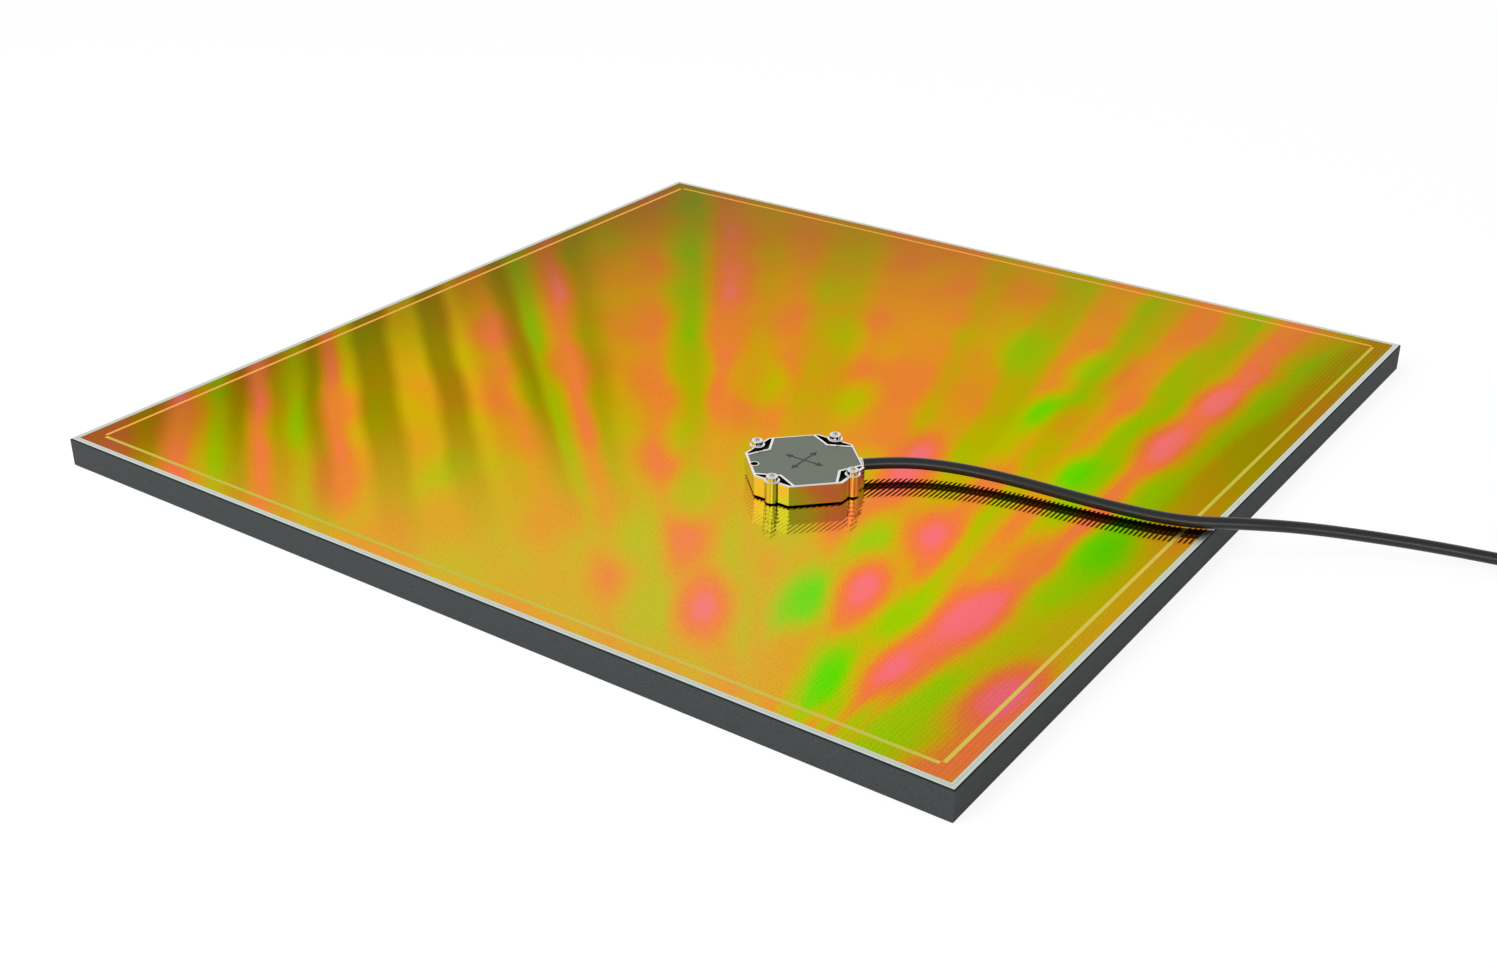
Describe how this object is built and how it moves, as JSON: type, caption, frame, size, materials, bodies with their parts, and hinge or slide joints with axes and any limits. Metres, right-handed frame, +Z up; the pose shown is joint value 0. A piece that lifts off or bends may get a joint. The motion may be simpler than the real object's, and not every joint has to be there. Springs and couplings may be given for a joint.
{
  "type": "two-coordinate grid encoder",
  "caption": "Square plate with an iridescent crossed grating, read by a flat scanning head that slides over it in two directions, with a coiled cable and a multi-pin plug.",
  "frame": {"origin": "middle of the underside of the grid plate", "axes": "+Z up, out of the grating; +X towards the plate edge that the cable crosses; +Y along that edge"},
  "size_m": [0.564, 0.4, 0.0232],
  "materials": {
    "substrate": "dark grey ground glass ceramic, opaque",
    "bare_coating": "plain reflecting coating",
    "grating": "reflecting phase grating, iridescent gold, green and red",
    "border_line": "yellow diffracting line",
    "housing_metal": "nickel-plated, bright",
    "cover_grey": "grey-green matt print on sheet metal",
    "screw_steel": "bright stainless steel",
    "optical_glass": "polished optical glass",
    "black_plastic": "moulded black",
    "diode_epoxy": "clear red epoxy",
    "silicon": "dark silicon chips",
    "board_laminate": "green solder-masked laminate",
    "core_insulation": "coloured core insulation",
    "cable_jacket": "black polyurethane jacket",
    "tie_fabric": "black hook-and-loop tape",
    "boot_rubber": "black moulded boot",
    "hood_metal": "grey die-cast, satin",
    "shell_tin": "tin-plated steel",
    "contact_gold": "gold-plated contacts"
  },
  "bodies": {
    "grid_plate": {"plate_substrate": "substrate", "coating_margin": "bare_coating", "grating_layer": "grating", "border_lines": "border_line"},
    "cable_lead": {"cable_run": "cable_jacket", "cable_coil": "cable_jacket", "coil_tie": "tie_fabric", "cable_tail": "cable_jacket", "plug_boot": "boot_rubber", "hood_lower": "hood_metal", "hood_upper": "hood_metal", "hood_screws": "screw_steel", "plug_shell": "shell_tin", "pin_insert": "black_plastic", "contact_pins": "contact_gold", "interface_board": "board_laminate", "interface_chips": "silicon", "plug_cores": "core_insulation"},
    "scanning_head": {"head_housing": "housing_metal", "head_cover": "cover_grey", "mounting_screws": "screw_steel", "mounting_washers": "screw_steel", "scanning_reticle": "optical_glass", "lens_holder": "black_plastic", "condenser_lens": "optical_glass", "light_source": "diode_epoxy", "photodetectors": "silicon", "sensor_board": "board_laminate", "sensor_chips": "silicon", "board_screws": "screw_steel", "cable_collar": "screw_steel", "cable_end": "cable_jacket", "cable_clamp": "screw_steel", "clamp_screws": "screw_steel", "head_cores": "core_insulation"},
    "jackscrew_left": {"jackscrew_left": "screw_steel"},
    "jackscrew_right": {"jackscrew_right": "screw_steel"}
  },
  "joints": [
    {"name": "y_travel", "type": "slide", "parent": "grid_plate", "child": "cable_lead", "axis": [0, 1, 0], "range_m": [-0.0873, 0.2127]},
    {"name": "x_travel", "type": "slide", "parent": "cable_lead", "child": "scanning_head", "axis": [1, 0, 0], "range_m": [-0.2272, 0.0728], "deforming": ["cable_run"]},
    {"name": "jackscrew_left_turn", "type": "hinge", "parent": "cable_lead", "child": "jackscrew_left", "pos_m": [0.32635, 0.186, 0.008], "axis": [0, 1, 0], "continuous": true},
    {"name": "jackscrew_right_turn", "type": "hinge", "parent": "cable_lead", "child": "jackscrew_right", "pos_m": [0.35965, 0.186, 0.008], "axis": [0, 1, 0], "continuous": true}
  ]
}
